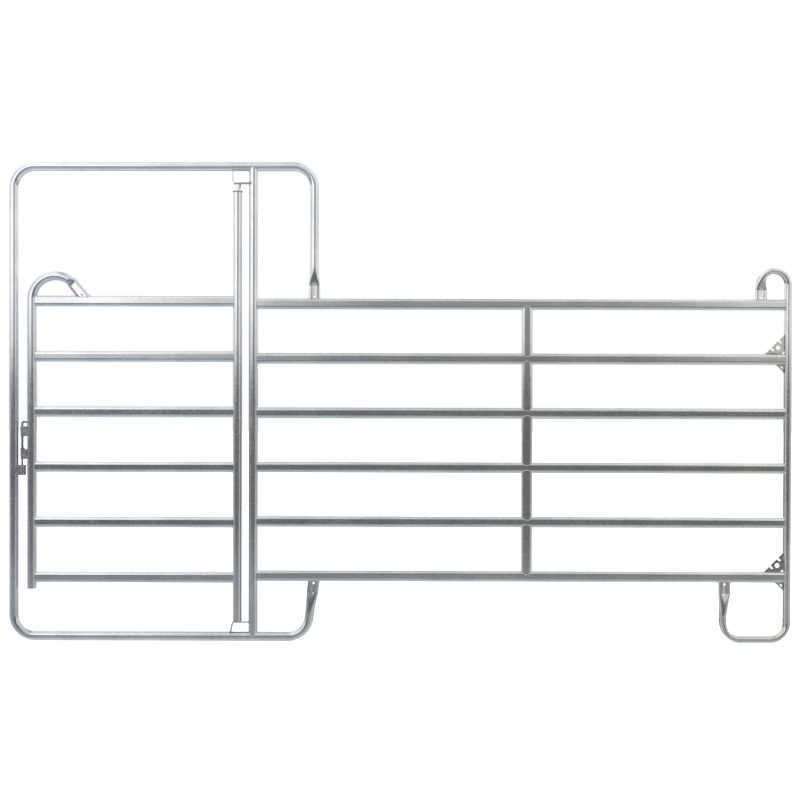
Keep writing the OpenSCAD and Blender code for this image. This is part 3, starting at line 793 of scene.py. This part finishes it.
def springTree():
    tree, size, ids, line = geometryTree("coilSpring", springSizes)
    even = newNode(tree, "GeometryNodeResampleCurve", {"Curve": line, "Count": size["Steps"]})
    share = term(tree.nodes.new("GeometryNodeSplineParameter"), "Factor")
    # the end turns lie flat, the middle turns rise
    first, last = springValues["endShare"], 1 - springValues["endShare"]
    wire, endRise = size["Wire"], springValues["endRise"]
    low = size["Low"] + wire * 0.5
    middleRun = size["High"] - wire * 0.5 - low - wire * (2 * endRise)
    rise = ramp(share, first, last) * middleRun
    z = low + (rise + (ramp(share, 0.0, first) + ramp(share, last, 1.0)) * (wire * endRise))
    angle = share * (size["Turns"] * (2 * math.pi))
    spot = newNode(tree, "ShaderNodeCombineXYZ", {0: calc("COSINE", angle) * size["Mean Radius"] + boltX,
                                                  1: calc("SINE", angle) * size["Mean Radius"], 2: z})
    coil = newNode(tree, "GeometryNodeSetPosition", {"Geometry": term(even), "Position": term(spot)})
    closeTree(size, sweep(term(coil), circle(tree, springValues["wireSides"], wire * 0.5)))
    return tree, ids


def makeSpring():
    low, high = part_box("bolt_spring")
    obj = lineObject("boltSpring", [([(boltX, 0, low[2]), (boltX, 0, high[2])], False)])
    gap = springValues["gap"]
    sizes = {**springSizes, "Mean Radius": (high[0] - low[0]) / 2 - springSizes["Wire"] / 2, "Low": low[2] + gap,
             "High": high[2] - gap}
    growNodes(obj, *springTree(), sizes, zinc["paintedShadeSpringZinc"])
    finishPiece(tidyMesh(obj), "gate", "zinc_rod", "bolt_spring")
    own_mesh(obj)


makeSpring()

# plates, straps, brackets and pins: the CAD shape with its edges eased
easeValues = {"upper_chain_plate": 0.0009, "lower_chain_plate": 0.0009, "upper_gusset": 0.0003,
              "lower_gusset": 0.0003, "upper_hinge_bracket": 0.0008, "lower_hinge_bracket": 0.0008,
              "bolt_keeper": 0.0007, "upper_bolt_guide": 0.0008, "lower_bolt_guide": 0.0008,
              "hinge_collar": 0.0012, "stop_pin": 0.0008, "lower_hinge_pin": 0.0012, "upper_hinge_pin": 0.0006}
bodyOf = {name: body for body in frame["bodies"] for name, obj in nodes.items() if body in (body_of(obj) or ())}
# a gusset's hole: its distance from both straight edges, the reach round it, and its shift towards the corner
holeValues = dict(inset=0.014, reach=0.0055, shift=0.0025)
# a bracket's leg ends this far inside the tube; in degrees, where an edge is eased and where it stays sharp
edgeValues = dict(bite=0.0015, segments=2, easeFrom=45, flatSharp=20, turnedSharp=40)


def shiftHole(bm, x, z):
    for v in bm.verts:
        if math.hypot(v.co.x - x, v.co.z - z) < holeValues["reach"]:
            v.co.x += holeValues["shift"]
            v.co.z += holeValues["shift"]


def trimBar(bm, z, up):
    cut = bmesh.ops.bisect_plane(bm, geom=bm.verts[:] + bm.edges[:] + bm.faces[:], plane_co=(0, 0, z),
                                 plane_no=(0, 0, up), clear_outer=True)
    bmesh.ops.holes_fill(bm, edges=[e for e in cut["geom_cut"] if isinstance(e, bmesh.types.BMEdge)])


def easedCopy(node, ease):
    words = node.split("_")
    name = words[0] + "".join(w.capitalize() for w in words[1:])
    bm = bmesh.new()
    bm.from_mesh(nodes[node].data)
    bmesh.ops.remove_doubles(bm, verts=bm.verts, dist=2e-6)
    bmesh.ops.dissolve_limit(bm, angle_limit=math.radians(0.5), verts=bm.verts, edges=bm.edges)
    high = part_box(node)[1]
    if "gusset" in node:
        shiftHole(bm, high[0] - holeValues["inset"], high[2] - holeValues["inset"])
    elif node == "upper_hinge_bracket":
        trimBar(bm, headZ - roundR + edgeValues["bite"], 1)
    elif node == "lower_hinge_bracket":
        trimBar(bm, sillZ + roundR - edgeValues["bite"], -1)
    obj = addObject(name, meshFrom(bm, name))
    obj.data.materials.append(nodes[node].data.materials[0])
    bevel = obj.modifiers.new("ease", "BEVEL")
    bevel.width = ease
    bevel.segments = edgeValues["segments"]
    bevel.limit_method = "ANGLE"
    bevel.angle_limit = math.radians(edgeValues["easeFrom"])
    turned = "pin" in node or "collar" in node
    return tidyMesh(plainMesh(obj), edgeValues["turnedSharp" if turned else "flatSharp"])


for node, ease in easeValues.items():
    slot = "zinc_rod" if node == "stop_pin" else "zinc_plate"
    finishPiece(easedCopy(node, ease), bodyOf[node], slot, node)
print("eased pieces:", len(easeValues))

# weld beads: seams as lines, for each body one mesh of beads and one of rougher lumps, the lumps painted dark as shade
weldSizes = {"Bead": 0.0018, "Ripple Pitch": 0.004, "Ripple": 0.14, "Lump": 0.45, "Lump Scale": 90.0, "Seed": 3.0,
             "Sides": 8}
lumpSizes = {**weldSizes, "Bead": 0.003, "Lump": 0.8, "Lump Scale": 110.0, "Seed": 7.0}
seamValues = dict(loopCount=40, ringCount=32, pitch=0.004, lift=0.0004, cornerCut=0.013, barT=0.005, barParts=12,
                  barShare=0.95, legHalf=0.016, dripY=-0.007, dripH=0.016, pinIn=0.0005, latchWide=1.35)


def weldTree():
    tree, size, ids, line = geometryTree("weldBead", weldSizes)
    even = newNode(tree, "GeometryNodeResampleCurve", {"Curve": line, "Length": size["Ripple Pitch"] / 2.0},
                   mode="LENGTH")
    length = term(tree.nodes.new("GeometryNodeSplineParameter"), "Length")
    wave = calc("SINE", length / size["Ripple Pitch"] * (2 * math.pi))
    place = term(tree.nodes.new("GeometryNodeInputPosition"))
    lump = newNode(tree, "ShaderNodeTexNoise", {"Vector": place, "Scale": size["Lump Scale"], "W": size["Seed"]},
                   noise_dimensions="4D")
    grow = wave * size["Ripple"] + 1.0 + (term(lump) - 0.5) * (size["Lump"] * 2.0)
    thick = newNode(tree, "GeometryNodeSetCurveRadius", {"Curve": term(even), "Radius": grow})
    closeTree(size, sweep(term(thick), circle(tree, size["Sides"], size["Bead"])))
    return tree, ids


weldBead = weldTree()


def clip(value, low, size):
    return min(max((value - low) / size, 0), 1) if size > 1e-9 else 0


# a point on a flat-sided oval wider than deep, at a share of its outline: arc, flat, two arcs, flat, arc
def outlinePoint(share, width, depth):
    r, run = depth / 2, width - depth
    s = share * (2 * math.pi * r + 2 * run)
    q = math.pi * r / 2
    turn = clip(s, 0, q) + clip(s, q + run, q) + clip(s, 2 * q + run, q) + clip(s, 3 * q + 2 * run, q)
    u = run * (0.5 - clip(s, q, run) + clip(s, 3 * q + run, run))
    return u + r * math.cos(turn * math.pi / 2), r * math.sin(turn * math.pi / 2)


# surfaces at a depth y: a round tube's side, an upright oval's side and a rail's top
def roundSide(y):
    return math.sqrt(max(roundR**2 - y * y, 0))


def ovalSide(y):
    flat, r = (ovalW - ovalT) / 2, ovalT / 2
    return r if abs(y) <= flat else math.sqrt(max(r * r - (abs(y) - flat) ** 2, 0))


def railTopAt(y):
    return (ovalW - ovalT) / 2 + math.sqrt(max((ovalT / 2) ** 2 - min(abs(y), ovalT / 2) ** 2, 0))


def loop(place, width, depth):
    count = seamValues["loopCount"]
    return [place(*outlinePoint(k / count, width, depth)) for k in range(count)], True


def railOnPost(postX, side, railZ):
    return loop(lambda u, v: (postX + side * roundSide(v), v, railZ + u), ovalW, ovalT)


def railOnEnd(railZ):
    return loop(lambda u, v: (endX - ovalSide(v), v, railZ + u), ovalW, ovalT)


def postOnRail(x, railZ, up, width, depth):
    return loop(lambda u, v: (x + u, v, railZ + up * (railTopAt(v) + seamValues["lift"])), width, depth)


def postOnTube(x, tubeZ, up):
    return loop(lambda u, v: (x + u, v, tubeZ + up * roundSide(v)), roundD, roundD)


def seam(start, end):
    a, b = Vector(start), Vector(end)
    count = max(2, round((b - a).length / seamValues["pitch"]))
    return [tuple(a.lerp(b, k / count)) for k in range(count + 1)], False


def ringSeam(x, z, radius):
    turns = [2 * math.pi * k / seamValues["ringCount"] for k in range(seamValues["ringCount"])]
    return [(x + radius * math.cos(t), radius * math.sin(t), z) for t in turns], True


# both edges of a strap along a round tube
def strapSeams(strap, tubeX, side):
    low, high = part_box(strap)
    spots = [(tubeX + side * roundSide(y), y) for y in (low[1], high[1])]
    return [seam((x, y, low[2]), (x, y, high[2])) for x, y in spots]


def panelSeams():
    wide, wideOval = pressedWidth(roundD, roundD), pressedWidth(ovalT, ovalW)
    thin = pressValues["pressDepth"]
    seams = []
    for z in panelLevels:
        seams += [railOnPost(innerX, 1, z), railOnEnd(z)]
    for low, high in zip(panelLevels, panelLevels[1:]):
        seams += [postOnRail(midX, low, 1, ovalW, ovalT), postOnRail(midX, high, -1, ovalW, ovalT)]
    for topX, lowX, width in ((returnX, returnX, wide), (archSeat[0], footSeat[0], wideOval)):
        seams += [postOnRail(topX, panelLevels[5], 1, width, thin), postOnRail(lowX, panelLevels[0], -1, width, thin)]
    return seams + [postOnTube(innerX, headZ, -1), postOnTube(innerX, sillZ, 1)]


def panelLumps():
    v = seamValues
    seams = []
    for plate in ("upper_chain_plate", "lower_chain_plate", "upper_gusset", "lower_gusset"):
        low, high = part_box(plate)
        # a chain plate's corner between rail and post stays open
        railSide, cut = (low[2], v["cornerCut"]) if "chain" in plate else (high[2], 0.0)
        for y in (low[1], high[1]):
            seams += [seam((high[0], y, low[2] + cut), (high[0], y, high[2])),
                      seam((low[0], y, railSide), (high[0] - cut, y, railSide))]
    seams += strapSeams("bolt_keeper", uprightX, 1)
    for bracket in ("upper_hinge_bracket", "lower_hinge_bracket"):
        low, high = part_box(bracket)
        isUpper = "upper" in bracket
        bar = low[2] if isUpper else high[2]
        ends = [v["barShare"] * (low[1] + (high[1] - low[1]) * k / v["barParts"]) for k in range(v["barParts"] + 1)]
        for z in (bar, bar + (v["barT"] if isUpper else -v["barT"])):
            seams.append(([(innerX - roundSide(y), y, z) for y in ends], False))
        legX = low[0] + v["barT"] / 2
        legZ = headZ - roundR if isUpper else sillZ + roundR
        seams.append(seam((legX, -v["legHalf"], legZ), (legX, v["legHalf"], legZ)))
    # zinc drips where the foot's bends start, dark in the lumps' painted shade
    dripZ = ovalT / 2 + endValues["footR"]
    for x in (footX - ovalT / 2, endX - ovalT / 2):
        seams.append(seam((x, v["dripY"], dripZ), (x, v["dripY"], dripZ + v["dripH"])))
    return seams + [ringSeam(hingeX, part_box("upper_hinge_pin")[1][2], span("upper_hinge_pin", 0) / 2),
                    ringSeam(hingeX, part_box("lower_hinge_pin")[0][2], span("lower_hinge_pin", 0) / 2 - v["pinIn"])]


def gateSeams():
    seams = []
    for z in gateLevels:
        seams += [railOnPost(stileX, 1, z), railOnPost(hingeX, -1, z)]
    thin = latchValues["pressDepth"]
    wide = (thin + math.pi * (roundD - thin) / 2) * seamValues["latchWide"]
    return seams + [postOnRail(latchSeat[0], gateLevels[5], 1, wide, thin)]


def gateLumps():
    seams = [ringSeam(hingeX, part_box("hinge_collar")[0][2], roundR)]
    return seams + strapSeams("upper_bolt_guide", stileX, -1) + strapSeams("lower_bolt_guide", stileX, -1)


for body, welds, lumps in (("panel", panelSeams(), panelLumps()), ("gate", gateSeams(), gateLumps())):
    for kind, seams, sizes, paint in (("Welds", welds, weldSizes, "weldZinc"), ("Lumps", lumps, lumpSizes, "paintedShadeLumpZinc")):
        beads = growNodes(lineObject(body + kind, seams), *weldBead, sizes, zinc[paint])
        finishPiece(tidyMesh(beads, 180), body, "zinc_plate")


def sheet(name, corners, paint):
    mesh = bpy.data.meshes.new(name)
    mesh.from_pydata(corners, [], [(0, 1, 2, 3)])
    mesh.materials.append(paint)
    return addObject(name, mesh)


# floor: white, just below the foot, not seen in the zinc
floorValues = dict(size=60.0, drop=0.0006, shade=(0.9, 0.9, 0.9), rough=0.9, glow=0.55)


def makeFloor():
    v = floorValues
    paint, tree = newPaint("floorPaint")
    shader = tree.nodes["Principled BSDF"].inputs
    put(shader["Base Color"], (*v["shade"], 1))
    put(shader["Roughness"], v["rough"])
    put(shader["Emission Color"], (1, 1, 1, 1))
    put(shader["Emission Strength"], v["glow"])
    half, z = v["size"] / 2, -v["drop"]
    floor = sheet("floor", [(-half, -half, z), (half, -half, z), (half, half, z), (-half, half, z)], paint)
    floor.visible_glossy = floor.visible_diffuse = False


makeFloor()

# studio: a tent of light, by azimuth from the camera's side (right is positive) and elevation in degrees;
# a patch is its light, then what it follows, where it starts and where it is full
tentValues = dict(sky=1.1, skyline=1.0, soft=3.0, horizon=0.22, tintAz=(-40.0, 40.0),
                  leftSkyTint=(1.01, 1.0, 0.985), rightSkyTint=(1.0, 1.0, 0.99),
                  leftGroundTint=(0.965, 0.997, 1.03), rightGroundTint=(0.98, 1.01, 1.0))
skyPatches = dict(sides=(0.04, ("turn", 150.0, 110.0), ("height", 80.0, 50.0)),
                  leftHigh=(0.27, ("around", 5.0, -15.0), ("around", -170.0, -130.0), ("height", 35.0, 45.0),
                            ("height", 82.0, 70.0)),
                  overhead=(-0.3, ("aside", 0.2, 0.06), ("height", 25.0, 45.0)))
groundPatches = dict(leftWall=(0.5, ("around", -55.0, -95.0), ("around", -155.0, -130.0)),
                     rightWall=(0.35, ("around", 25.0, 80.0), ("around", 155.0, 130.0)),
                     near=(0.16, ("height", -4.0, -9.0)), middle=(0.2, ("height", -10.0, -30.0)),
                     far=(0.26, ("height", -50.0, -80.0)))


def addPatches(base, patches, fields):
    for light, *edges in patches.values():
        patch = None
        for label, start, full in edges:
            edge = step(fields[label], start, full)
            patch = patch * edge if patch else edge
        base = patch * light + base
    return base


# cool on the left, a little warm on the right
def sideTint(share, above):
    v = tentValues
    return blendTint(above, blendTint(share, v["leftGroundTint"], v["rightGroundTint"]),
                     blendTint(share, v["leftSkyTint"], v["rightSkyTint"]))


def makeTent():
    v = tentValues
    world = bpy.data.worlds.new("studio")
    scene.world = world
    world.use_nodes = True
    tree = world.node_tree
    x, y, z = split(term(tree.nodes.new("ShaderNodeTexCoord"), "Generated"))
    around = calc("ARCTAN2", x, y * -1.0) * (180 / math.pi)
    height = calc("ARCSINE", z) * (180 / math.pi)
    above = step(height, v["skyline"] - v["soft"], v["skyline"] + v["soft"])
    fields = {"around": around, "turn": abs(around), "height": height, "aside": abs(x)}
    sky = addPatches(v["sky"], skyPatches, fields)
    total = sky * above + addPatches(v["horizon"], groundPatches, fields) * (1.0 - above)
    tint = sideTint(step(around, *v["tintAz"]), above)
    # the camera itself sees plain white
    seen = term(tree.nodes.new("ShaderNodeLightPath"), "Is Camera Ray")
    back = tree.nodes["Background"].inputs
    put(back["Color"], blendTint(seen, tint, (1.0, 1.0, 1.0)))
    put(back["Strength"], calc("MAXIMUM", seen, total))
    scene.view_settings.view_transform = "Standard"


makeTent()

# a card as far off as the camera, seen by the zinc alone: a dark band low down, a bright left, a dim middle
cardValues = dict(y=-6.5, west=-15.0, east=12.0, low=-3.2, high=7.5, band=0.2, bandTop=1.0, skyFrom=1.9,
                  leftSky=1.5, midSky=0.42, rightSky=1.15, topSky=0.95, dimWest=(-4.5, -2.0), dimEast=(0.3, 2.2),
                  dimTop=(3.6, 5.6), tintX=(-4.0, 1.0))
cardSky = dict(glint=(0.35, ("x", -3.9, -4.5), ("x", -6.6, -5.6), ("z", 1.75, 2.15)))
cardGround = dict(under=(0.3, ("z", -0.2, -0.9)), deep=(0.1, ("z", -1.0, -2.6)), right=(0.3, ("x", 2.0, 8.0)))


def makeCard():
    v = cardValues
    paint, tree = newPaint("cardLight")
    tree.nodes.remove(tree.nodes["Principled BSDF"])
    x, y, z = split(term(tree.nodes.new("ShaderNodeTexCoord"), "Object"))
    across = ramp(x, *v["dimWest"], v["leftSky"] - v["midSky"], 0.0)
    across = across + step(x, *v["dimEast"], v["rightSky"] - v["midSky"]) + v["midSky"]
    top = step(z, *v["dimTop"])
    fields = {"x": x, "z": z}
    sky = addPatches(across * (1.0 - top) + top * v["topSky"], cardSky, fields)
    above = step(z, v["bandTop"], v["skyFrom"])
    total = sky * above + addPatches(v["band"], cardGround, fields) * (1.0 - above)
    glow = newNode(tree, "ShaderNodeEmission", {"Color": sideTint(step(x, *v["tintX"]), above), "Strength": total})
    put(tree.nodes["Material Output"].inputs["Surface"], term(glow))
    corners = (("west", "low"), ("west", "high"), ("east", "high"), ("east", "low"))
    card = sheet("frontCard", [(v[side], v["y"], v[level]) for side, level in corners], paint)
    card.visible_camera = card.visible_diffuse = card.visible_shadow = card.visible_transmission = False


makeCard()

cameraValues = dict(place=(-1.595, -6.5, 1.172), yaw=-0.32, pitch=-0.55, roll=0.15, lens=63.68, sensor=36.0,
                    clipEnd=200.0)


def makeCamera():
    v = cameraValues
    data = bpy.data.cameras.new("camera")
    data.lens, data.sensor_width, data.clip_end = v["lens"], v["sensor"], v["clipEnd"]
    camera = addObject("camera", data)
    yaw, pitch, roll = (math.radians(v[k]) for k in ("yaw", "pitch", "roll"))
    ahead = Vector((math.sin(yaw) * math.cos(pitch), math.cos(yaw) * math.cos(pitch), math.sin(pitch)))
    right = Vector((math.cos(yaw), -math.sin(yaw), 0))
    up = right.cross(ahead)
    rightRolled = right * math.cos(roll) + up * math.sin(roll)
    upRolled = rightRolled.cross(ahead)
    turn = Matrix((rightRolled, upRolled, -ahead)).transposed()
    camera.matrix_world = Matrix.Translation(v["place"]) @ turn.to_4x4()
    scene.camera = camera


makeCamera()
print("studio and camera set")
